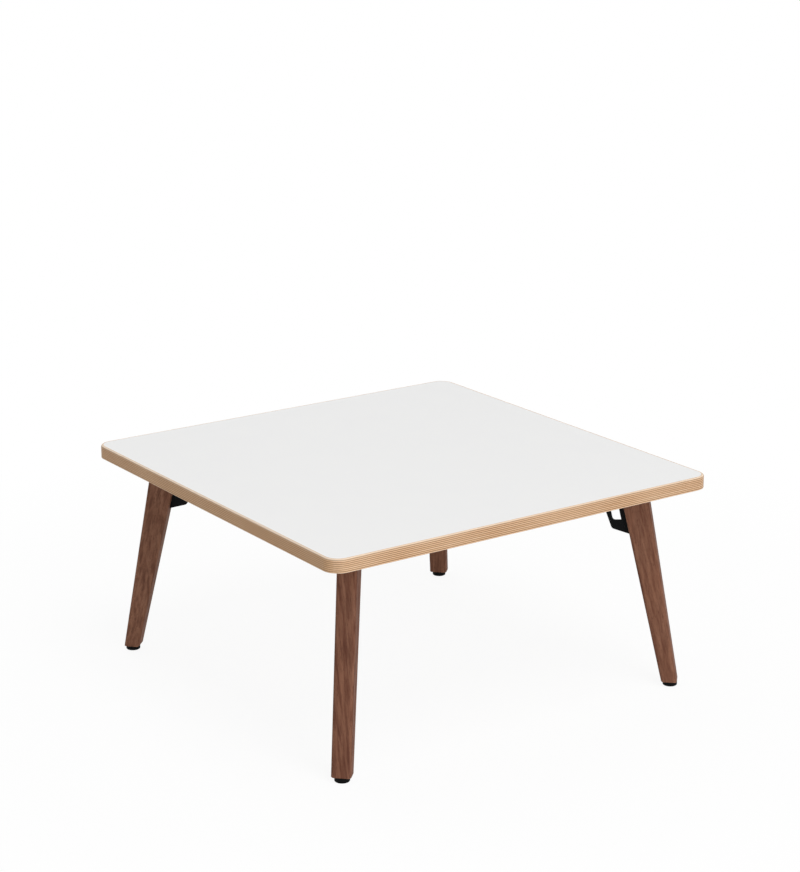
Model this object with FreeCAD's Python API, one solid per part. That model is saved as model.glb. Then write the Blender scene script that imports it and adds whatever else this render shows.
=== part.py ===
import FreeCAD, Part
import math
import os

# Square low table with four folding splayed legs. Millimetres, floor at Z = 0, front edge towards -Y.

# Whole table
TABLE_HEIGHT = 352.0
TOP_SIDE = 700.0
TOP_CORNER_RADIUS = 25.0

# Layers of the top: the laminate is let flush into the board, inside a narrow rim of it
LAMINATE_THICKNESS = 0.4
LAMINATE_INSET = 4.0
CORE_THICKNESS = 20.2
BACKING_THICKNESS = 0.4
UPPER_EASING = 3.0
LOWER_EASING = 0.8

# Wooden leg: insets are from the top's sides to the leg's centre
LEG_TOP_INSET = 84.3
LEG_FOOT_INSET = 36.3
LEG_TOP_WIDTH = 43.8
LEG_FOOT_WIDTH = 24.5
LEG_THICKNESS = 30.0
LEG_EDGE_RADIUS = 5.0
LEG_END_CHAMFER = 0.8
LEG_STOP_GAP = 0.2

# Steel blade in the middle of the leg: along = down the leg's inner face, out = away from that face
BLADE_THICKNESS = 4.0
BLADE_EDGE_EASING = 0.4
BLADE_TOP_RECESS = 0.5
TONGUE_DEPTH = 24.0
FIN_LENGTH = 84.7
FIN_CORNER_ALONG = 70.3
FIN_CORNER_OUT = 26.3
FIN_CORNER_RADIUS = 7.0
FIN_HEAD_ALONG = 29.0
FIN_HEAD_OUT = 31.4
FIN_HEAD_RADIUS = 9.0
BOSS_RADIUS = 10.0
SLOT_CLEARANCE = 0.1

# Finger window in the blade
WINDOW_NEAR_OUT = 8.7
WINDOW_FAR_OUT = 21.9
WINDOW_TOP_ALONG = 36.5
WINDOW_FOOT_ALONG = 59.5
WINDOW_FOOT_RISE = 2.2
WINDOW_NEAR_RADIUS = 0.8
WINDOW_FAR_RADIUS = 5.0
WINDOW_TOP_RADIUS = 4.0

# Pivot of each leg
PIVOT_ALONG = 19.6
PIVOT_OUT = 12.7
PIVOT_DIAMETER = 6.0
PIVOT_HEAD_DIAMETER = 11.0
PIVOT_HEAD_HEIGHT = 2.2
PIVOT_TAIL_DIAMETER = 9.0
PIVOT_TAIL_HEIGHT = 1.6
PIVOT_HEAD_EASING = 0.9
RUNNING_CLEARANCE = 0.05
WASHER_DIAMETER = 18.0
WASHER_THICKNESS = 1.0

# Bracket under the top: plate ends are measured from the pivot along the diagonal
PLATE_THICKNESS = 2.5
PLATE_INNER_REACH = 46.0
PLATE_OUTER_REACH = 58.0
PLATE_WIDTH = 52.0
PLATE_CORNER_RADIUS = 6.0
EAR_THICKNESS = 2.5
EAR_RADIUS = 11.0
EAR_INNER_REACH = 16.0
EAR_OUTER_REACH = 6.5
WELD_LEG = 2.0
BRACKET_EDGE_EASING = 0.5

# Wood screws of the bracket
SCREW_DIAMETER = 4.0
SCREW_HEAD_DIAMETER = 8.0
SCREW_LENGTH = 16.0
SCREW_TIP_LENGTH = 3.0
SCREW_END_MARGIN = 9.0
SCREW_SIDE_MARGIN = 6.5
SCREW_CLEARANCE = 0.05
RECESS_LENGTH = 4.4
RECESS_WIDTH = 1.1
RECESS_DEPTH = 1.2

# Cross pins that hold the blade in the leg
CROSS_PIN_DIAMETER = 5.0
CROSS_PIN_END_RECESS = 0.3
CROSS_PIN_CHAMFER = 0.5
CROSS_PIN_CLEARANCE = 0.05
UPPER_PIN_ALONG = 14.0
UPPER_PIN_DEPTH = 8.0
LOWER_PIN_ALONG = 29.0
LOWER_PIN_DEPTH = 16.0

# Foot glide
GLIDE_DIAMETER = 23.0
GLIDE_HEIGHT = 8.0
GLIDE_RIM_RADIUS = 1.6
GLIDE_WELL_DIAMETER = 10.0
GLIDE_WELL_DEPTH = 4.0
GLIDE_SCREW_DIAMETER = 3.5
GLIDE_SCREW_HEAD_DIAMETER = 8.0
GLIDE_SCREW_HEAD_HEIGHT = 2.4
GLIDE_SCREW_LENGTH = 24.0
GLIDE_SCREW_TIP_LENGTH = 3.0

# Sizes that follow from the ones above
TOP_THICKNESS = LAMINATE_THICKNESS + CORE_THICKNESS + BACKING_THICKNESS
UNDERSIDE = TABLE_HEIGHT - TOP_THICKNESS
PLATE_BOTTOM = UNDERSIDE - PLATE_THICKNESS
LEG_TOP = PLATE_BOTTOM - LEG_STOP_GAP
BLADE_TOP = LEG_TOP - BLADE_TOP_RECESS
LEG_TOP_REACH = TOP_SIDE / 2 - LEG_TOP_INSET
LEG_FOOT_REACH = TOP_SIDE / 2 - LEG_FOOT_INSET
LEG_TOP_CENTRE = math.hypot(LEG_TOP_REACH, LEG_TOP_REACH)
LEG_FOOT_CENTRE = math.hypot(LEG_FOOT_REACH, LEG_FOOT_REACH)
FACE_TOP = LEG_TOP_CENTRE - LEG_TOP_WIDTH / 2
FACE_FOOT = LEG_FOOT_CENTRE - LEG_FOOT_WIDTH / 2
FACE_LEAN = math.atan2(FACE_FOOT - FACE_TOP, UNDERSIDE)
EAR_GAP = BLADE_THICKNESS + 2 * (RUNNING_CLEARANCE + WASHER_THICKNESS)
EAR_SPAN = EAR_GAP + 2 * EAR_THICKNESS
SCREW_HEAD_HEIGHT = (SCREW_HEAD_DIAMETER - SCREW_DIAMETER) / 2

# Corners and the turn of each diagonal about Z, in degrees
CORNERS = {"front_left": 225.0, "front_right": 315.0, "rear_right": 45.0, "rear_left": 135.0}

# Share of a rounding's radius within which an edge counts as lying at the rounding's place
PICK_SHARE = 0.01

UP = FreeCAD.Vector(0, 0, 1)
ACROSS = FreeCAD.Vector(0, 1, 0)


# A point of one leg's own frame: diagonal, across and height
def point(diagonal, across, height):
    return FreeCAD.Vector(diagonal, across, height)


# Diagonal and height of a place given along and out of the leg's inner face
def on_face(along, out):
    diagonal = FACE_TOP + along * math.sin(FACE_LEAN) - out * math.cos(FACE_LEAN)
    height = UNDERSIDE - along * math.cos(FACE_LEAN) - out * math.sin(FACE_LEAN)
    return diagonal, height


# Same, for a known height instead of a known distance along the face
def face_at_height(height, out):
    along = (UNDERSIDE - height - out * math.sin(FACE_LEAN)) / math.cos(FACE_LEAN)
    return on_face(along, out)


PIVOT_DIAGONAL, PIVOT_HEIGHT = on_face(PIVOT_ALONG, PIVOT_OUT)


# Centre of the leg on the diagonal at a height
def leg_centre(height):
    return LEG_FOOT_CENTRE + (LEG_TOP_CENTRE - LEG_FOOT_CENTRE) * height / UNDERSIDE


# Centre of the glide, on the leg's centre line at half the glide's height
def glide_centre():
    return leg_centre(GLIDE_HEIGHT / 2)


# Width of the leg on the diagonal at a height
def leg_width(height):
    return LEG_FOOT_WIDTH + (LEG_TOP_WIDTH - LEG_FOOT_WIDTH) * height / UNDERSIDE


# Upright slab between two places across the leg, from its outline of (diagonal, height) points
def slab(outline, across_start, across_end):
    corners = [point(diagonal, across_start, height) for diagonal, height in outline]
    wire = Part.makePolygon(corners + corners[:1])
    return Part.Face(wire).extrude(ACROSS * (across_end - across_start))


# Slab that is even about the middle of the leg
def middle_slab(outline, thickness):
    return slab(outline, -thickness / 2, thickness / 2)


# Rounds the edge that runs across a slab at an outline point
def rounded_at(solid, place, radius):
    diagonal, height = place
    chosen = []
    for edge in solid.Edges:
        ends = [vertex.Point for vertex in edge.Vertexes]
        near = all(math.hypot(end.x - diagonal, end.z - height) < radius * PICK_SHARE for end in ends)
        if near and len(ends) == 2:
            chosen.append(edge)
    return solid.makeFillet(radius, chosen)


# Edges of an upright plate that lie in one of its two faces
def edges_in_face(solid, across):
    tolerance = 1e-6
    chosen = []
    for edge in solid.Edges:
        box = edge.BoundBox
        if abs(box.YMin - across) < tolerance and abs(box.YMax - across) < tolerance:
            chosen.append(edge)
    return chosen


# Cylinder across the leg, even about its middle
def cross_cylinder(diameter, length, diagonal, height):
    base = point(diagonal, -length / 2, height)
    return Part.makeCylinder(diameter / 2, length, base, ACROSS)


# Edges of a solid that lie wholly at one height
def edges_at_height(solid, height):
    tolerance = 1e-6
    chosen = []
    for edge in solid.Edges:
        box = edge.BoundBox
        if abs(box.ZMin - height) < tolerance and abs(box.ZMax - height) < tolerance:
            chosen.append(edge)
    return chosen


# Square sheet with rounded corners, between two heights and an inset from the top's sides
def square_sheet(inset, low, high):
    side = TOP_SIDE - 2 * inset
    thickness = high - low
    start = FreeCAD.Vector(-side / 2, -side / 2, low)
    block = Part.makeBox(side, side, thickness, start)
    uprights = [edge for edge in block.Edges if edge.BoundBox.ZLength > thickness / 2]
    return block.makeFillet(TOP_CORNER_RADIUS - inset, uprights)


# Whole top with its rounded corners and eased edges, before it is split in layers
def whole_top():
    panel = square_sheet(0.0, UNDERSIDE, TABLE_HEIGHT)
    panel = panel.makeFillet(UPPER_EASING, edges_at_height(panel, TABLE_HEIGHT))
    return panel.makeFillet(LOWER_EASING, edges_at_height(panel, UNDERSIDE))


# One layer of the top between two heights
def layer(panel, low, high):
    start = FreeCAD.Vector(-TOP_SIDE, -TOP_SIDE, low)
    return panel.common(Part.makeBox(2 * TOP_SIDE, 2 * TOP_SIDE, high - low, start))


# Places of the four bracket screws in one leg's frame
def screw_places():
    inner = PIVOT_DIAGONAL - PLATE_INNER_REACH + SCREW_END_MARGIN
    outer = PIVOT_DIAGONAL + PLATE_OUTER_REACH - SCREW_END_MARGIN
    side = PLATE_WIDTH / 2 - SCREW_SIDE_MARGIN
    return [(diagonal, across) for diagonal in (inner, outer) for across in (-side, side)]


# Hole that a bracket screw's shank takes, from the plate's lower face up
def screw_hole(diagonal, across):
    base = point(diagonal, across, PLATE_BOTTOM)
    radius = SCREW_DIAMETER / 2 + SCREW_CLEARANCE
    return Part.makeCylinder(radius, SCREW_LENGTH + SCREW_CLEARANCE, base, UP)


# Countersink for a bracket screw's head
def countersink(diagonal, across):
    base = point(diagonal, across, PLATE_BOTTOM)
    wide = SCREW_HEAD_DIAMETER / 2 + SCREW_CLEARANCE
    narrow = SCREW_DIAMETER / 2 + SCREW_CLEARANCE
    return Part.makeCone(wide, narrow, SCREW_HEAD_HEIGHT, base, UP)


# Cross recess in the face of a screw head that looks down
def cross_recess(diagonal, across, height):
    cuts = []
    for length, width in ((RECESS_LENGTH, RECESS_WIDTH), (RECESS_WIDTH, RECESS_LENGTH)):
        start = point(diagonal - length / 2, across - width / 2, height)
        cuts.append(Part.makeBox(length, width, RECESS_DEPTH, start))
    return cuts[0].fuse(cuts[1])


# Countersunk wood screw, driven upwards
def bracket_screw(diagonal, across):
    base = point(diagonal, across, PLATE_BOTTOM)
    head = Part.makeCone(SCREW_HEAD_DIAMETER / 2, SCREW_DIAMETER / 2, SCREW_HEAD_HEIGHT, base, UP)
    shank_length = SCREW_LENGTH - SCREW_HEAD_HEIGHT - SCREW_TIP_LENGTH
    shank_base = base + UP * SCREW_HEAD_HEIGHT
    shank = Part.makeCylinder(SCREW_DIAMETER / 2, shank_length, shank_base, UP)
    tip_base = shank_base + UP * shank_length
    tip = Part.makeCone(SCREW_DIAMETER / 2, 0, SCREW_TIP_LENGTH, tip_base, UP)
    screw = head.fuse([shank, tip]).removeSplitter()
    return screw.cut(cross_recess(diagonal, across, PLATE_BOTTOM))


# Bracket plate on the underside
def bracket_plate():
    length = PLATE_INNER_REACH + PLATE_OUTER_REACH
    start = point(PIVOT_DIAGONAL - PLATE_INNER_REACH, -PLATE_WIDTH / 2, PLATE_BOTTOM)
    plate = Part.makeBox(length, PLATE_WIDTH, PLATE_THICKNESS, start)
    uprights = [edge for edge in plate.Edges if edge.BoundBox.ZLength > PLATE_THICKNESS / 2]
    plate = plate.makeFillet(PLATE_CORNER_RADIUS, uprights)
    plate = plate.makeFillet(BRACKET_EDGE_EASING, edges_at_height(plate, PLATE_BOTTOM))
    for diagonal, across in screw_places():
        plate = plate.cut([screw_hole(diagonal, across), countersink(diagonal, across)])
    return plate


# Touching points of the line from a place to a circle; the turn picks the side
def tangent_point(place, centre, radius, turn):
    reach = math.hypot(place[0] - centre[0], place[1] - centre[1])
    towards = math.atan2(place[1] - centre[1], place[0] - centre[0])
    angle = towards + turn * math.acos(radius / reach)
    return centre[0] + radius * math.cos(angle), centre[1] + radius * math.sin(angle)


# One ear of the bracket: a tapered plate with a round end about the pivot
def ear(across_start):
    centre = (PIVOT_DIAGONAL, PIVOT_HEIGHT)
    inner = (PIVOT_DIAGONAL - EAR_INNER_REACH, PLATE_BOTTOM)
    outer = (PIVOT_DIAGONAL + EAR_OUTER_REACH, PLATE_BOTTOM)
    outline = [inner, tangent_point(inner, centre, EAR_RADIUS, 1.0)]
    outline += [centre, tangent_point(outer, centre, EAR_RADIUS, -1.0), outer]
    taper = slab(outline, across_start, across_start + EAR_THICKNESS)
    base = point(PIVOT_DIAGONAL, across_start, PIVOT_HEIGHT)
    return taper.fuse(Part.makeCylinder(EAR_RADIUS, EAR_THICKNESS, base, ACROSS))


# Weld bead between an ear's outer side and the plate
def weld_bead(side):
    face = side * EAR_SPAN / 2
    start = PIVOT_DIAGONAL - EAR_INNER_REACH
    corners = [point(start, face, PLATE_BOTTOM), point(start, face + side * WELD_LEG, PLATE_BOTTOM)]
    corners.append(point(start, face, PLATE_BOTTOM - WELD_LEG))
    wire = Part.makePolygon(corners + corners[:1])
    return Part.Face(wire).extrude(FreeCAD.Vector(EAR_INNER_REACH + EAR_OUTER_REACH, 0, 0))


# Bracket of one leg: plate, two ears and their welds as one steel piece
def bracket():
    ears = [ear(EAR_GAP / 2), ear(-EAR_SPAN / 2)]
    solid = bracket_plate().fuse(ears + [weld_bead(1.0), weld_bead(-1.0)]).removeSplitter()
    bore = PIVOT_DIAMETER + 2 * RUNNING_CLEARANCE
    return solid.cut(cross_cylinder(bore, EAR_SPAN, PIVOT_DIAGONAL, PIVOT_HEIGHT))


# Domed head on one end of the pivot pin
def pivot_head(diameter, height, side):
    base = point(PIVOT_DIAGONAL, side * EAR_SPAN / 2, PIVOT_HEIGHT)
    head = Part.makeCylinder(diameter / 2, height, base, ACROSS * side)
    end = side * (EAR_SPAN / 2 + height)
    rims = [edge for edge in head.Edges if abs(edge.CenterOfMass.y - end) < PIVOT_HEAD_EASING / 2]
    return head.makeFillet(PIVOT_HEAD_EASING, rims)


# Pivot pin with its two heads
def pivot_pin():
    shaft = cross_cylinder(PIVOT_DIAMETER, EAR_SPAN, PIVOT_DIAGONAL, PIVOT_HEIGHT)
    head = pivot_head(PIVOT_HEAD_DIAMETER, PIVOT_HEAD_HEIGHT, 1.0)
    tail = pivot_head(PIVOT_TAIL_DIAMETER, PIVOT_TAIL_HEIGHT, -1.0)
    return shaft.fuse([head, tail]).removeSplitter()


# Friction washers between the blade and the ears
def friction_washers():
    washers = []
    for side in (1.0, -1.0):
        base = point(PIVOT_DIAGONAL, side * (EAR_GAP / 2 - WASHER_THICKNESS), PIVOT_HEIGHT)
        disc = Part.makeCylinder(WASHER_DIAMETER / 2, WASHER_THICKNESS, base, ACROSS * side)
        bore = PIVOT_DIAMETER / 2 + RUNNING_CLEARANCE
        hole = Part.makeCylinder(bore, WASHER_THICKNESS, base, ACROSS * side)
        washers.append(disc.cut(hole))
    return washers


# Places of the two cross pins
def cross_pin_places():
    upper = on_face(UPPER_PIN_ALONG, -UPPER_PIN_DEPTH)
    lower = on_face(LOWER_PIN_ALONG, -LOWER_PIN_DEPTH)
    return [upper, lower]


# Holes that the cross pins take through the leg and the blade
def cross_pin_holes():
    diameter = CROSS_PIN_DIAMETER + 2 * CROSS_PIN_CLEARANCE
    return [cross_cylinder(diameter, 2 * LEG_THICKNESS, *place) for place in cross_pin_places()]


# Cross pins with chamfered ends, just below the leg's sides
def cross_pins():
    length = LEG_THICKNESS - 2 * CROSS_PIN_END_RECESS
    pins = []
    for place in cross_pin_places():
        pin = cross_cylinder(CROSS_PIN_DIAMETER, length, *place)
        rims = [edge for edge in pin.Edges if edge.BoundBox.YLength < CROSS_PIN_CHAMFER]
        pins.append(pin.makeChamfer(CROSS_PIN_CHAMFER, rims))
    return pins


# Outline of the blade around the pivot's boss and the fin, without its rounding
def blade_outline():
    head = on_face(FIN_HEAD_ALONG, FIN_HEAD_OUT)
    centre = (PIVOT_DIAGONAL, PIVOT_HEIGHT)
    top_near = face_at_height(BLADE_TOP, 0.0)
    outline = [on_face(FIN_LENGTH, -TONGUE_DEPTH), on_face(FIN_LENGTH, 0.0)]
    outline += [on_face(FIN_CORNER_ALONG, FIN_CORNER_OUT), head]
    outline += [tangent_point(head, centre, BOSS_RADIUS, -1.0)]
    outline += [tangent_point(top_near, centre, BOSS_RADIUS, 1.0)]
    outline += [top_near, face_at_height(BLADE_TOP, -TONGUE_DEPTH)]
    return outline


# Finger window through the blade
def blade_window():
    near_foot = on_face(WINDOW_FOOT_ALONG, WINDOW_NEAR_OUT)
    far_foot = on_face(WINDOW_FOOT_ALONG - WINDOW_FOOT_RISE, WINDOW_FAR_OUT)
    far_top = on_face(WINDOW_TOP_ALONG, WINDOW_FAR_OUT)
    near_top = on_face(WINDOW_TOP_ALONG, WINDOW_NEAR_OUT)
    window = middle_slab([near_foot, far_foot, far_top, near_top], 2 * BLADE_THICKNESS)
    window = rounded_at(window, near_foot, WINDOW_NEAR_RADIUS)
    window = rounded_at(window, far_foot, WINDOW_FAR_RADIUS)
    window = rounded_at(window, far_top, WINDOW_TOP_RADIUS)
    return rounded_at(window, near_top, WINDOW_TOP_RADIUS)


# Steel blade: tongue in the leg, fin with the window, and boss on the pivot
def blade():
    plate = middle_slab(blade_outline(), BLADE_THICKNESS)
    plate = rounded_at(plate, on_face(FIN_CORNER_ALONG, FIN_CORNER_OUT), FIN_CORNER_RADIUS)
    plate = rounded_at(plate, on_face(FIN_HEAD_ALONG, FIN_HEAD_OUT), FIN_HEAD_RADIUS)
    boss = cross_cylinder(2 * BOSS_RADIUS, BLADE_THICKNESS, PIVOT_DIAGONAL, PIVOT_HEIGHT)
    plate = plate.fuse(boss).removeSplitter().cut(blade_window())
    for across in (-BLADE_THICKNESS / 2, BLADE_THICKNESS / 2):
        plate = plate.makeFillet(BLADE_EDGE_EASING, edges_in_face(plate, across))
    bore = cross_cylinder(PIVOT_DIAMETER + 2 * RUNNING_CLEARANCE, 2 * BLADE_THICKNESS,
                          PIVOT_DIAGONAL, PIVOT_HEIGHT)
    return plate.cut([bore] + cross_pin_holes())


# Slot for the blade's tongue, open at the leg's top and inner face
def blade_slot():
    depth = TONGUE_DEPTH + SLOT_CLEARANCE
    foot = FIN_LENGTH + SLOT_CLEARANCE
    outline = [on_face(foot, -depth), on_face(foot, depth)]
    outline += [face_at_height(TABLE_HEIGHT, depth), face_at_height(TABLE_HEIGHT, -depth)]
    return middle_slab(outline, BLADE_THICKNESS + 2 * SLOT_CLEARANCE)


# Hole for the glide's screw in the foot of the leg
def glide_screw_hole():
    base = point(glide_centre(), 0.0, GLIDE_WELL_DEPTH)
    radius = GLIDE_SCREW_DIAMETER / 2 + SCREW_CLEARANCE
    return Part.makeCylinder(radius, GLIDE_SCREW_LENGTH + SCREW_CLEARANCE, base, UP)


# Tapered wooden leg with softened edges
def leg():
    outline = []
    for height, side in ((GLIDE_HEIGHT, -1), (GLIDE_HEIGHT, 1), (LEG_TOP, 1), (LEG_TOP, -1)):
        outline.append((leg_centre(height) + side * leg_width(height) / 2, height))
    wood = middle_slab(outline, LEG_THICKNESS)
    long_edges = [edge for edge in wood.Edges if edge.BoundBox.ZLength > TABLE_HEIGHT / 2]
    wood = wood.makeFillet(LEG_EDGE_RADIUS, long_edges)
    wood = wood.makeChamfer(LEG_END_CHAMFER, edges_at_height(wood, GLIDE_HEIGHT))
    return wood.cut([blade_slot(), glide_screw_hole()] + cross_pin_holes())


# Round plastic glide with a well for its screw
def glide():
    centre = glide_centre()
    disc = Part.makeCylinder(GLIDE_DIAMETER / 2, GLIDE_HEIGHT, point(centre, 0.0, 0.0), UP)
    disc = disc.makeFillet(GLIDE_RIM_RADIUS, edges_at_height(disc, 0.0))
    well = Part.makeCylinder(GLIDE_WELL_DIAMETER / 2, GLIDE_WELL_DEPTH, point(centre, 0.0, 0.0), UP)
    return disc.cut([well, glide_screw_hole()])


# Pan-head screw of the glide, its head inside the well
def glide_screw():
    centre = glide_centre()
    seat = point(centre, 0.0, GLIDE_WELL_DEPTH)
    face = GLIDE_WELL_DEPTH - GLIDE_SCREW_HEAD_HEIGHT
    head_base = point(centre, 0.0, face)
    head = Part.makeCylinder(GLIDE_SCREW_HEAD_DIAMETER / 2, GLIDE_SCREW_HEAD_HEIGHT, head_base, UP)
    shank_length = GLIDE_SCREW_LENGTH - GLIDE_SCREW_TIP_LENGTH
    shank = Part.makeCylinder(GLIDE_SCREW_DIAMETER / 2, shank_length, seat, UP)
    tip_base = seat + UP * shank_length
    tip = Part.makeCone(GLIDE_SCREW_DIAMETER / 2, 0, GLIDE_SCREW_TIP_LENGTH, tip_base, UP)
    screw = head.fuse([shank, tip]).removeSplitter()
    return screw.cut(cross_recess(centre, 0.0, face))


# Copy of a solid turned from the leg's own frame to a corner
def at_corner(solid, turn):
    placed = solid.copy()
    placed.rotate(FreeCAD.Vector(0, 0, 0), UP, turn)
    return placed


# Writes one named piece, or one group of equal pieces, to its file
def save(name, solids):
    shape = solids[0] if len(solids) == 1 else Part.makeCompound(solids)
    shape.exportStep("parts/" + name + ".step")


# Top of the table in its three layers, with the holes for the bracket screws
def save_top():
    panel = whole_top()
    core_low = UNDERSIDE + BACKING_THICKNESS
    core_high = core_low + CORE_THICKNESS
    holes = []
    for turn in CORNERS.values():
        holes += [at_corner(screw_hole(*place), turn) for place in screw_places()]
    laminate = square_sheet(LAMINATE_INSET, core_high, TABLE_HEIGHT)
    save("top_laminate", [laminate])
    save("plywood_core", [layer(panel, core_low, TABLE_HEIGHT).cut(holes + [laminate])])
    save("backing_laminate", [layer(panel, UNDERSIDE, core_low).cut(holes)])


# Every piece that comes once at each corner
def save_corner_pieces():
    pieces = {"bracket": [bracket()], "pivot_pin": [pivot_pin()]}
    pieces["friction_washers"] = friction_washers()
    pieces["bracket_screws"] = [bracket_screw(*place) for place in screw_places()]
    pieces["leg"] = [leg()]
    pieces["leg_blade"] = [blade()]
    pieces["cross_pins"] = cross_pins()
    pieces["glide"] = [glide()]
    pieces["glide_screw"] = [glide_screw()]
    for corner, turn in CORNERS.items():
        for piece, solids in pieces.items():
            save(corner + "_" + piece, [at_corner(solid, turn) for solid in solids])


os.makedirs("parts", exist_ok=True)
save_top()
save_corner_pieces()
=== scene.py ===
import bpy
import math
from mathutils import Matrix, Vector


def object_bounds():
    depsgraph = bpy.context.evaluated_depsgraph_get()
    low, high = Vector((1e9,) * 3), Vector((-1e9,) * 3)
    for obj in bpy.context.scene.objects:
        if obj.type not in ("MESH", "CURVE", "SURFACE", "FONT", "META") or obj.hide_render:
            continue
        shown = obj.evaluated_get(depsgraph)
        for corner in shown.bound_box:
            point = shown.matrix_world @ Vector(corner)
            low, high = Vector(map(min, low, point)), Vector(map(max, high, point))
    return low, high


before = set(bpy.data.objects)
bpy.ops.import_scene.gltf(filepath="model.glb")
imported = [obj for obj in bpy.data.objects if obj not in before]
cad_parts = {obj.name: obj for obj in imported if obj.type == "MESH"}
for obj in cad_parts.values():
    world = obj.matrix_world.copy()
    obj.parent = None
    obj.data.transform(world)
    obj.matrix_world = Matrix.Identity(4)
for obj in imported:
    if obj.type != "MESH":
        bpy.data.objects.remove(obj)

CAD_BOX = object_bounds()
MM = 0.001

# Sizes of the table, in metres
LOW, HIGH = (Vector(end) for end in CAD_BOX)
TOP_SIDE = HIGH.x - LOW.x
TOP_THICKNESS = 21.0 * MM
BACKING_THICKNESS = 0.4 * MM
UNDERSIDE = HIGH.z - TOP_THICKNESS
LEG_TOP_INSET = 84.3 * MM
LEG_FOOT_INSET = 36.3 * MM

# Direction of each corner from the middle of the table, in degrees from the x axis
CORNERS = {"front_left": 225.0, "front_right": 315.0, "rear_right": 45.0, "rear_left": 135.0}

# Plies of the board, from its lower face to a hair above its upper one
PLY_COUNT = 15
PLY_HAIR = 0.1 * MM
PLIES_LOW = UNDERSIDE + BACKING_THICKNESS
PLIES_HIGH = HIGH.z + PLY_HAIR

# Boards that the legs are cut from: how much paler each is than the middle tone, partly painted light and
# shade (rear-left leg paler, front-left leg darker), the slant of its grain in degrees, the strength of its
# figure, and how far from the leg the heart of the tree lies in millimetres
MIDDLE_TONE = 0.5
BOARDS = {
    "front_left": (-0.13, 7.0, 0.92, 51.0),
    "front_right": (0.03, 5.0, 0.75, 54.0),
    "rear_right": (0.05, 4.0, 0.80, 51.0),
    "rear_left": (0.26, -11.0, 1.0, 48.0),
}

# Noise patterns: the values that most of one lies between, and how many octaves it has
NOISE_LOW = 0.3
NOISE_HIGH = 0.7
SOFT = 2.0
MIXED = 3.0
FINE = 4.0
FINER = 5.0
FINEST = 6.0

# Grain of the legs: width across the grain in millimetres, length over width, and octaves of each pattern.
# Pores are drawn wider than they are, so that they show
LEG_GRAIN = {
    "flames": (4.0, 11.0, FINEST),
    "fibres": (1.3, 30.0, FINE),
    "streaks": (1.7, 14.0, MIXED),
    "pores": (0.7, 12.0, SOFT),
    "clouds": (26.0, 3.0, MIXED),
}

# Length after which a wave pattern of scale 1 repeats, in metres
WAVE_RADIANS = 20.0
WAVE_PERIOD = math.tau / WAVE_RADIANS

# Curve between sRGB and linear colour
FULL_CHANNEL = 255
TOE_END = 0.04045
TOE_SLOPE = 12.92
CURVE_SHIFT = 0.055
CURVE_POWER = 2.4

# Camera, found by fitting the straight edges of the photograph
IMAGE_HEIGHT = 872.0
FOCAL_PIXELS = 2269.32
AXIS_ABOVE_MIDDLE = 36.0
SENSOR = 36.0
CAMERA_PLACE = (-1.9679, -2.8232, 1.4024)
CAMERA_TURN = 34.9826
CAMERA_DIP = 15.4946
LEVEL = 90.0

# Studio, in metres and watts
FLOOR_SIDE = 60.0
FLOOR_ROUGHNESS = 0.9
FLOOR_WHITE_SHARE = 0.92
SHADOW_REACH = 0.5
FLOOR_WHITE_FROM = 1.3
ROOM_LIGHT = 0.28
LAMP_AIM = (0.0, 0.0, 0.2)
KEY_PLACE = (-0.2, -4.0, 1.8)
KEY_SIDE = 2.0
KEY_WATTS = 64.0
HIGH_LAMP_PLACE = (0.2, -4.0, 9.0)
HIGH_LAMP_SIDE = 5.4
HIGH_LAMP_WATTS = 408.0
BACK_LAMP_PLACE = (0.1, 1.6, 3.0)
BACK_LAMP_SIDE = 3.0
BACK_LAMP_WATTS = 24.0


def colour(code):
    """Linear colour of an sRGB hex code."""
    linear = []
    for channel in bytes.fromhex(code):
        share = channel / FULL_CHANNEL
        if share <= TOE_END:
            linear.append(share / TOE_SLOPE)
        else:
            linear.append(((share + CURVE_SHIFT) / (1.0 + CURVE_SHIFT)) ** CURVE_POWER)
    return (*linear, 1.0)


def per_metre(size_mm):
    """Texture scale that gives a pattern of this size in millimetres."""
    return 1.0 / (size_mm * MM)


def add(tree, kind, settings, feeds):
    """Adds a node with its settings, and feeds its live inputs with values, sockets or other nodes."""
    node = tree.nodes.new("ShaderNode" + kind)
    for name, value in settings.items():
        setattr(node, name, value)
    live = [socket for socket in node.inputs if socket.enabled]
    for key, value in feeds.items():
        socket = live[key] if isinstance(key, int) else next(s for s in live if s.name == key)
        if isinstance(value, bpy.types.Node):
            value = next(s for s in value.outputs if s.enabled)
        if isinstance(value, bpy.types.NodeSocket):
            tree.links.new(value, socket)
        else:
            socket.default_value = value
    return node


def new_material(name):
    """Empty material, and the tree that its nodes go in."""
    material = bpy.data.materials.new(name)
    material.use_nodes = True
    material.node_tree.nodes.clear()
    return material, material.node_tree


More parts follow.
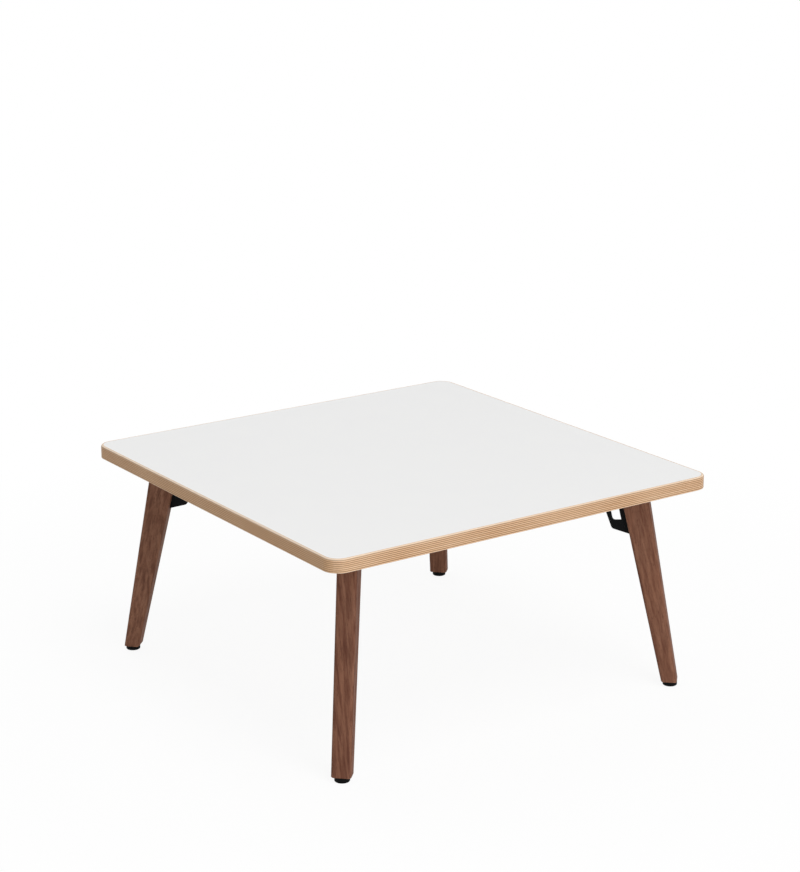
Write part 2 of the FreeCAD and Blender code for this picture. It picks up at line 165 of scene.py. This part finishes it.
# Sheets, coated metal and plastic
def plain_finish(name, dark, light, cloud_mm, cloud_octaves, skin_mm, skin_octaves, rough_low, rough_high,
                 skin_depth_mm, skin_strength, shading):
    """Material whose tone drifts between two colours, under a fine skin that varies its gloss and relief."""
    material, tree = new_material(name)
    place = add(tree, "TexCoord", {}, {}).outputs["Object"]
    cloud = add(tree, "TexNoise", {},
                {"Vector": place, "Scale": per_metre(cloud_mm), "Detail": cloud_octaves})
    grain = add(tree, "TexNoise", {},
                {"Vector": place, "Scale": per_metre(skin_mm), "Detail": skin_octaves})
    paint = add(tree, "Mix", {"data_type": "RGBA"},
                {"Factor": cloud, "A": colour(dark), "B": colour(light)})
    rough = add(tree, "MapRange", {}, {"Value": grain, "From Min": NOISE_LOW, "From Max": NOISE_HIGH,
                                       "To Min": rough_low, "To Max": rough_high})
    skin = add(tree, "Bump", {},
               {"Height": grain, "Distance": skin_depth_mm * MM, "Strength": skin_strength})
    shader = add(tree, "BsdfPrincipled", {},
                 {"Base Color": paint, "Roughness": rough, "Normal": skin, **shading})
    add(tree, "OutputMaterial", {}, {"Surface": shader})
    return material


def white_laminate():
    """Pressed melamine sheet: almost neutral white, satin, with a fine pebbled skin."""
    # Real pebbling is finer than this skin and is drawn coarser, so that it shows
    return plain_finish("white_melamine_laminate", dark="ECECEC", light="EEEEED",
                        cloud_mm=60.0, cloud_octaves=MIXED, skin_mm=0.9, skin_octaves=SOFT,
                        rough_low=0.42, rough_high=0.50, skin_depth_mm=0.02, skin_strength=0.25,
                        shading={"IOR": 1.5})


def backing_laminate():
    """Balancing sheet under the board: matt warm grey paper laminate with a faint mottle."""
    # Paper fibres are drawn coarser than they are, so that the matt skin shows
    return plain_finish("grey_backing_laminate", dark="CDC8C0", light="D8D4CC",
                        cloud_mm=14.0, cloud_octaves=FINER, skin_mm=0.7, skin_octaves=MIXED,
                        rough_low=0.55, rough_high=0.66, skin_depth_mm=0.02, skin_strength=0.3,
                        shading={})


def black_coated_steel():
    """Powder coat on steel: near-black, satin, with the fine ripple of orange peel."""
    # The specks of the powder are drawn coarser than they are, so that they show
    return plain_finish("black_powder_coated_steel", dark="050506", light="0B0B0C",
                        cloud_mm=0.35, cloud_octaves=SOFT, skin_mm=1.4, skin_octaves=SOFT,
                        rough_low=0.50, rough_high=0.62, skin_depth_mm=0.05, skin_strength=0.4,
                        shading={"Specular IOR Level": 0.10})


def turned_metal(name, dark, light, rough_low, rough_high):
    """Small turned or rolled steel pieces: fine tool marks and a little uneven tone in their plating."""
    # Tool marks are drawn coarser than they are, so that they show
    return plain_finish(name, dark, light,
                        cloud_mm=3.0, cloud_octaves=MIXED, skin_mm=0.3, skin_octaves=MIXED,
                        rough_low=rough_low, rough_high=rough_high, skin_depth_mm=0.01, skin_strength=0.3,
                        shading={"Metallic": 1.0})


def moulded_plastic(name, dark, light, grain_mm, rough_low, rough_high, gloss):
    """Moulded plastic: even tone under the fine matt grain of a spark-eroded mould."""
    # The grain is drawn coarser than it is, so that it shows
    return plain_finish(name, dark, light,
                        cloud_mm=grain_mm, cloud_octaves=SOFT, skin_mm=grain_mm, skin_octaves=SOFT,
                        rough_low=rough_low, rough_high=rough_high, skin_depth_mm=0.03, skin_strength=0.4,
                        shading={"Specular IOR Level": gloss})


# Birch plywood
def count_plies(tree, place):
    """Height in plies, the number of the ply at that height, and 1 where it is crossed, else 0."""
    waver_mm = 70.0
    waver_depth_mm = 0.35
    crossed_every = 2.0
    height = add(tree, "SeparateXYZ", {}, {"Vector": place}).outputs["Z"]
    # Plies waver a little along the board
    waver = add(tree, "TexNoise", {}, {"Vector": place, "Scale": per_metre(waver_mm), "Detail": SOFT})
    lowered = add(tree, "MapRange", {}, {"Value": waver, "From Min": NOISE_LOW, "From Max": NOISE_HIGH,
                                         "To Min": -waver_depth_mm * MM, "To Max": 0.0})
    level = add(tree, "Math", {"operation": "ADD"}, {0: height, 1: lowered})
    ply = add(tree, "MapRange", {}, {"Value": level, "From Min": PLIES_LOW, "From Max": PLIES_HIGH,
                                     "To Min": 0.0, "To Max": PLY_COUNT})
    number = add(tree, "Math", {"operation": "FLOOR"}, {0: ply})
    crossed = add(tree, "Math", {"operation": "MODULO"}, {0: number, 1: crossed_every})
    return ply, number, crossed


def birch_grain(tree, place, crossed):
    """Fine streaks along each ply, in one direction and then the other, and pores."""
    streak_mm = 1.6
    squeeze = 0.03
    # Birch pores are finer than this and are drawn coarser, so that they show
    pore_mm = 0.5
    streaks = []
    for scale in ((squeeze, 1.0, 1.0), (1.0, squeeze, 1.0)):
        along = add(tree, "Mapping", {}, {"Vector": place, "Scale": scale})
        streaks.append(add(tree, "TexNoise", {}, {"Vector": along, "Scale": per_metre(streak_mm),
                                                  "Detail": FINE}))
    along_x, along_y = streaks
    streak = add(tree, "Mix", {}, {"Factor": crossed, "A": along_x, "B": along_y})
    pores = add(tree, "TexNoise", {}, {"Vector": place, "Scale": per_metre(pore_mm), "Detail": SOFT})
    return streak, pores


def birch_tone(tree, place, number, end_grain, streak, pores):
    """Colour of the plies: pale along the grain, darker where it ends, and no two alike."""
    warm_most = 0.25
    patch_mm = 120.0
    patch_low = 0.35
    patch_high = 0.65
    patch_most = 0.14
    pale_share = add(tree, "MapRange", {}, {"Value": streak, "From Min": NOISE_LOW, "From Max": NOISE_HIGH})
    pore_share = add(tree, "MapRange", {}, {"Value": pores, "From Min": NOISE_LOW, "From Max": NOISE_HIGH})
    long_tone = add(tree, "Mix", {"data_type": "RGBA"},
                    {"Factor": pale_share, "A": colour("DDB48E"), "B": colour("EBCBA9")})
    end_tone = add(tree, "Mix", {"data_type": "RGBA"},
                   {"Factor": pore_share, "A": colour("825834"), "B": colour("9A704A")})
    wood = add(tree, "Mix", {"data_type": "RGBA"}, {"Factor": end_grain, "A": long_tone, "B": end_tone})
    ply_tone = add(tree, "TexWhiteNoise", {"noise_dimensions": "1D"}, {"W": number})
    warm_share = add(tree, "MapRange", {}, {"Value": ply_tone, "To Max": warm_most})
    warmer = add(tree, "Mix", {"data_type": "RGBA"},
                 {"Factor": warm_share, "A": wood, "B": colour("C99A68")})
    # Pale patches run through the board
    patch = add(tree, "TexNoise", {}, {"Vector": place, "Scale": per_metre(patch_mm), "Detail": SOFT})
    patch_share = add(tree, "MapRange", {}, {"Value": patch, "From Min": patch_low, "From Max": patch_high,
                                             "To Max": patch_most})
    return add(tree, "Mix", {"data_type": "RGBA"},
               {"Factor": patch_share, "A": warmer, "B": colour("F0D3B2")})


def rim_highlight_and_shade(tree, ply, upward, sideways, wood):
    """Painted highlight and shade on the top rim: pale cream where it is rounded over, and tan where the
    flat rim faces straight up.
    """
    highlight_start = PLY_COUNT - 1.9
    highlight_full = PLY_COUNT - 0.5
    # Painted highlight: the top ply is painted pale cream where it is rounded over, palest on the left and
    # right sides
    sideways_start = 0.2
    sideways_full = 0.6
    pale_along = 0.43
    pale_across = 0.72
    flat_start = 0.955
    flat_full = 0.985
    rim_shade_most = 0.3
    pale_most = add(tree, "MapRange", {}, {"Value": sideways, "From Min": sideways_start,
                                           "From Max": sideways_full, "To Min": pale_along,
                                           "To Max": pale_across})
    pale_share = add(tree, "MapRange", {}, {"Value": ply, "From Min": highlight_start, "From Max": highlight_full,
                                            "To Max": pale_most})
    pale = add(tree, "Mix", {"data_type": "RGBA"}, {"Factor": pale_share, "A": wood, "B": colour("F2E7D6")})
    # Painted shade: the flat rim that faces straight up is painted tan
    rim_shade_share = add(tree, "MapRange", {}, {"Value": upward, "From Min": flat_start, "From Max": flat_full,
                                           "To Max": rim_shade_most})
    return add(tree, "Mix", {"data_type": "RGBA"}, {"Factor": rim_shade_share, "A": pale, "B": colour("B08A64")})


def birch_plywood():
    """Lacquered birch edge: crossed plies, pale long grain and darker end grain, thin glue lines."""
    side_start = 0.70
    even_most = 0.3
    halfway = 0.5
    half_ply = 0.5
    glue_reach = 0.10
    glue_most = 0.55
    rough_low = 0.40
    rough_high = 0.55
    skin_depth_mm = 0.04
    skin_strength = 0.3
    gloss = 0.35
    material, tree = new_material("lacquered_birch_plywood")
    coordinates = add(tree, "TexCoord", {}, {})
    place = coordinates.outputs["Object"]
    facing = add(tree, "SeparateXYZ", {}, {"Vector": coordinates.outputs["Normal"]})
    ply, number, crossed = count_plies(tree, place)
    streak, pores = birch_grain(tree, place, crossed)
    # On the left and right sides the face grain ends, and the two kinds of ply look more alike there
    sideways = add(tree, "Math", {"operation": "ABSOLUTE"}, {0: facing.outputs["X"]})
    side = add(tree, "MapRange", {}, {"Value": sideways, "From Min": side_start, "From Max": 1.0})
    evened = add(tree, "Math", {"operation": "MULTIPLY"}, {0: side, 1: even_most})
    end_grain = add(tree, "Mix", {}, {"Factor": evened, "A": crossed, "B": halfway})
    tone = birch_tone(tree, place, number, end_grain, streak, pores)
    # Painted shade: the left and right sides are darkened and warmed a little
    painted_side_shade = add(tree, "Mix", {"data_type": "RGBA", "blend_type": "MULTIPLY"},
                 {"Factor": side, "A": tone, "B": colour("FFF8EA")})
    # Painted highlight and painted shade on the top rim
    rim_painted = rim_highlight_and_shade(tree, ply, facing.outputs["Z"], sideways, painted_side_shade)
    from_glue = add(tree, "Math", {"operation": "PINGPONG"}, {0: ply, 1: half_ply})
    glue = add(tree, "MapRange", {}, {"Value": from_glue, "From Max": glue_reach, "To Min": glue_most,
                                      "To Max": 0.0})
    paint = add(tree, "Mix", {"data_type": "RGBA"}, {"Factor": glue, "A": rim_painted, "B": colour("8A6140")})
    rough = add(tree, "MapRange", {}, {"Value": pores, "From Min": NOISE_LOW, "From Max": NOISE_HIGH,
                                       "To Min": rough_low, "To Max": rough_high})
    open_pores = add(tree, "Math", {"operation": "MULTIPLY"}, {0: pores, 1: end_grain})
    relief = add(tree, "Math", {"operation": "ADD"}, {0: streak, 1: open_pores})
    skin = add(tree, "Bump", {},
               {"Height": relief, "Distance": skin_depth_mm * MM, "Strength": skin_strength})
    shader = add(tree, "BsdfPrincipled", {}, {"Base Color": paint, "Roughness": rough, "Normal": skin,
                                              "Specular IOR Level": gloss})
    add(tree, "OutputMaterial", {}, {"Surface": shader})
    return material


# Wood of the legs
def leg_axis(corner, slant):
    """Middle point and turn of a leg's own frame, with its height along the grain."""
    turn = math.radians(CORNERS[corner])
    top = math.hypot(TOP_SIDE / 2 - LEG_TOP_INSET, TOP_SIDE / 2 - LEG_TOP_INSET)
    foot = math.hypot(TOP_SIDE / 2 - LEG_FOOT_INSET, TOP_SIDE / 2 - LEG_FOOT_INSET)
    out = (top + foot) / 2
    lean = math.atan2(top - foot, UNDERSIDE)
    return (out * math.cos(turn), out * math.sin(turn), UNDERSIDE / 2), (math.radians(slant), lean, turn)


def leg_grain(tree, place, middle, turn):
    """Noise patterns that are stretched along a leg, by their names."""
    grain = {}
    for name, (width_mm, stretch, octaves) in LEG_GRAIN.items():
        along = add(tree, "Mapping", {"vector_type": "TEXTURE"},
                    {"Vector": place, "Location": middle, "Rotation": turn, "Scale": (1.0, 1.0, stretch)})
        grain[name] = add(tree, "TexNoise", {}, {"Vector": along, "Scale": per_metre(width_mm),
                                                 "Detail": octaves})
    return grain


def year_rings(tree, place, middle, turn, heart_mm):
    """Year rings. The heart of the tree lies beside the leg, so they cross it as slanting bands."""
    ring_mm = 10.5
    stretch = 9.0
    heart_aside_mm = 48.0
    warp = 7.0
    warp_fineness = 1.4
    along = add(tree, "Mapping", {"vector_type": "TEXTURE"},
                {"Vector": place, "Location": middle, "Rotation": turn, "Scale": (1.0, 1.0, stretch)})
    heart = (heart_mm * MM, heart_aside_mm * MM, 0.0)
    beside = add(tree, "Mapping", {}, {"Vector": along, "Location": heart})
    rings = add(tree, "TexWave", {"wave_type": "RINGS", "rings_direction": "Z", "wave_profile": "SIN"},
                {"Vector": beside, "Scale": WAVE_PERIOD * per_metre(ring_mm), "Distortion": warp,
                 "Detail": MIXED, "Detail Scale": warp_fineness})
    return rings.outputs["Fac"]


def walnut_figure(tree, grain, rings):
    """Figure of the wood: 0 in its dark bands and 1 in its pale ones."""
    flame_low = 0.35
    flame_high = 0.65
    flame_part = 0.70
    fibre_part = 0.35
    flames = add(tree, "MapRange", {}, {"Value": grain["flames"], "From Min": flame_low,
                                        "From Max": flame_high})
    bands = add(tree, "Mix", {}, {"Factor": flame_part, "A": rings, "B": flames})
    return add(tree, "Mix", {}, {"Factor": fibre_part, "A": bands, "B": grain["fibres"]})


def walnut_tone(tree, grain, tone, lift_and_painted_light, figure):
    """Colour of the wood: brown bands, warm clouds and groups of dark streaks."""
    tone_low = 0.15
    tone_high = 0.85
    # The lift is partly painted light and shade: it makes the whole leg paler or darker
    darkest = MIDDLE_TONE - figure / 2 + lift_and_painted_light
    palest = MIDDLE_TONE + figure / 2 + lift_and_painted_light
    cloud_low = 0.35
    cloud_high = 0.7
    cloud_most = 0.35
    streak_part = 0.35
    streak_start = 0.53
    streak_full = 0.39
    streak_most = 0.25 * figure
    tone_share = add(tree, "MapRange", {}, {"Value": tone, "From Min": tone_low, "From Max": tone_high,
                                            "To Min": darkest, "To Max": palest})
    wood = add(tree, "Mix", {"data_type": "RGBA"},
               {"Factor": tone_share, "A": colour("633C2E"), "B": colour("906650")})
    cloud_share = add(tree, "MapRange", {}, {"Value": grain["clouds"], "From Min": cloud_low,
                                             "From Max": cloud_high, "To Max": cloud_most})
    clouded = add(tree, "Mix", {"data_type": "RGBA"},
                  {"Factor": cloud_share, "A": wood, "B": colour("7B4D37")})
    # Dark streaks come in groups, in the dark parts of the figure
    grouped = add(tree, "Mix", {}, {"Factor": streak_part, "A": grain["flames"], "B": grain["streaks"]})
    streak_share = add(tree, "MapRange", {}, {"Value": grouped, "From Min": streak_start,
                                              "From Max": streak_full, "To Max": streak_most})
    return add(tree, "Mix", {"data_type": "RGBA"},
               {"Factor": streak_share, "A": clouded, "B": colour("492A1E")})


def walnut(corner):
    """Walnut-stained hardwood: wavy bands, fine dark streaks and short pores under a thin matt lacquer."""
    pore_start = 0.58
    pore_full = 0.70
    pore_most = 0.55
    dark_band = 0.2
    pale_band = 0.8
    rough_dark = 0.70
    rough_pale = 0.60
    skin_depth_mm = 0.05
    skin_strength = 0.35
    gloss = 0.15
    material, tree = new_material("walnut_stained_wood_" + corner)
    place = add(tree, "TexCoord", {}, {}).outputs["Object"]
    # Each leg is cut from a board of its own, and its tone is partly painted light and shade
    lift_and_painted_light, slant, figure, heart_mm = BOARDS[corner]
    middle, turn = leg_axis(corner, slant)
    grain = leg_grain(tree, place, middle, turn)
    rings = year_rings(tree, place, middle, turn, heart_mm)
    tone = walnut_figure(tree, grain, rings)
    wood = walnut_tone(tree, grain, tone, lift_and_painted_light, figure)
    dashes = add(tree, "MapRange", {}, {"Value": grain["pores"], "From Min": pore_start,
                                        "From Max": pore_full, "To Max": pore_most})
    paint = add(tree, "Mix", {"data_type": "RGBA"}, {"Factor": dashes, "A": wood, "B": colour("392014")})
    rough = add(tree, "MapRange", {}, {"Value": tone, "From Min": dark_band, "From Max": pale_band,
                                       "To Min": rough_dark, "To Max": rough_pale})
    relief = add(tree, "Math", {"operation": "SUBTRACT"}, {0: grain["fibres"], 1: dashes})
    skin = add(tree, "Bump", {},
               {"Height": relief, "Distance": skin_depth_mm * MM, "Strength": skin_strength})
    shader = add(tree, "BsdfPrincipled", {}, {"Base Color": paint, "Roughness": rough, "Normal": skin,
                                              "Specular IOR Level": gloss})
    add(tree, "OutputMaterial", {}, {"Surface": shader})
    return material


def dress_nodes():
    """Gives every solid the finish that its name calls for."""
    steel = black_coated_steel()
    black_oxide = turned_metal("black_oxide_steel", "3C3C3E", "4E4E50", rough_low=0.36, rough_high=0.50)
    finishes = {
        "top_laminate": white_laminate(),
        "plywood_core": birch_plywood(),
        "backing_laminate": backing_laminate(),
        "bracket": steel,
        "leg_blade": steel,
        "pivot_pin": turned_metal("zinc_plated_steel", "A9ACB0", "C6C8CA", rough_low=0.26, rough_high=0.38),
        "bracket_screws": black_oxide,
        "cross_pins": black_oxide,
        "glide_screw": turned_metal("zinc_screw_steel", "9FA2A4", "B8BABC", rough_low=0.30, rough_high=0.42),
        "friction_washers": moulded_plastic("natural_nylon", "D9D5C6", "E4E0D2", grain_mm=0.6,
                                            rough_low=0.42, rough_high=0.52, gloss=0.4),
        "glide": moulded_plastic("black_glide_plastic", "060607", "0C0C0D", grain_mm=0.5,
                                 rough_low=0.60, rough_high=0.70, gloss=0.08),
    }
    for corner in CORNERS:
        finishes[corner + "_leg"] = walnut(corner)
    for name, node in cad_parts.items():
        kind = name
        for corner in CORNERS:
            if name != corner + "_leg":
                kind = kind.removeprefix(corner + "_")
        for slot in node.material_slots:
            slot.material = finishes[kind]


# Studio
def seen_directly(tree):
    """1 for what the camera sees directly, in a reflection or through something, else 0."""
    rays = add(tree, "LightPath", {}, {})
    seen = add(tree, "Math", {"operation": "MAXIMUM"},
               {0: rays.outputs["Is Camera Ray"], 1: rays.outputs["Is Glossy Ray"]})
    return add(tree, "Math", {"operation": "MAXIMUM"}, {0: seen, 1: rays.outputs["Is Transmission Ray"]})


def pale_room():
    """White surroundings that light the table only a little."""
    world = bpy.data.worlds.new("room")
    bpy.context.scene.world = world
    world.use_nodes = True
    tree = world.node_tree
    tree.nodes.clear()
    strength = add(tree, "MapRange", {}, {"Value": seen_directly(tree), "To Min": ROOM_LIGHT, "To Max": 1.0})
    background = add(tree, "Background", {}, {"Color": colour("FFFFFF"), "Strength": strength})
    add(tree, "OutputWorld", {}, {"Surface": background})


def pale_floor():
    """White floor that keeps a soft shadow under the table."""
    bpy.ops.object.select_all(action="DESELECT")
    bpy.ops.mesh.primitive_plane_add(size=FLOOR_SIDE)
    floor = bpy.context.object
    floor.name = "floor"
    material, tree = new_material("white_floor")
    matt = add(tree, "BsdfPrincipled", {}, {"Base Color": colour("F4F4F4"), "Roughness": FLOOR_ROUGHNESS,
                                            "Specular IOR Level": 0.0})
    glow = add(tree, "Emission", {}, {"Color": colour("FFFFFF"), "Strength": 1.0})
    place = add(tree, "TexCoord", {}, {}).outputs["Object"]
    away = add(tree, "VectorMath", {"operation": "LENGTH"}, {0: place})
    white = add(tree, "MapRange", {}, {"Value": away, "From Min": SHADOW_REACH, "From Max": FLOOR_WHITE_FROM,
                                       "To Min": FLOOR_WHITE_SHARE, "To Max": 1.0})
    share = add(tree, "Math", {"operation": "MULTIPLY"}, {0: seen_directly(tree), 1: white})
    mixed = add(tree, "MixShader", {}, {0: share, 1: matt, 2: glow})
    # Seen from below the floor is open, so that the underside can be looked at
    below = add(tree, "NewGeometry", {}, {}).outputs["Backfacing"]
    clear = add(tree, "BsdfTransparent", {}, {})
    surface = add(tree, "MixShader", {}, {0: below, 1: mixed, 2: clear})
    add(tree, "OutputMaterial", {}, {"Surface": surface})
    floor.data.materials.append(material)


def lamp(name, place, side, watts):
    """Soft square lamp, turned to the table."""
    light = bpy.data.lights.new(name, "AREA")
    light.shape = "SQUARE"
    light.size = side
    light.energy = watts
    holder = bpy.data.objects.new(name, light)
    bpy.context.scene.collection.objects.link(holder)
    holder.location = place
    holder.rotation_euler = (Vector(LAMP_AIM) - Vector(place)).to_track_quat("-Z", "Y").to_euler()


def camera():
    """Camera at the photograph's viewpoint, with its framing."""
    data = bpy.data.cameras.new("camera")
    data.sensor_width = SENSOR
    data.lens = FOCAL_PIXELS * SENSOR / IMAGE_HEIGHT
    data.shift_y = -AXIS_ABOVE_MIDDLE / IMAGE_HEIGHT
    holder = bpy.data.objects.new("camera", data)
    bpy.context.scene.collection.objects.link(holder)
    holder.location = CAMERA_PLACE
    holder.rotation_euler = (math.radians(LEVEL - CAMERA_DIP), 0.0, math.radians(-CAMERA_TURN))
    bpy.context.scene.camera = holder


dress_nodes()
pale_room()
pale_floor()
lamp("key_lamp", KEY_PLACE, KEY_SIDE, KEY_WATTS)
lamp("high_lamp", HIGH_LAMP_PLACE, HIGH_LAMP_SIDE, HIGH_LAMP_WATTS)
lamp("back_lamp", BACK_LAMP_PLACE, BACK_LAMP_SIDE, BACK_LAMP_WATTS)
camera()
bpy.context.scene.view_settings.view_transform = "Standard"
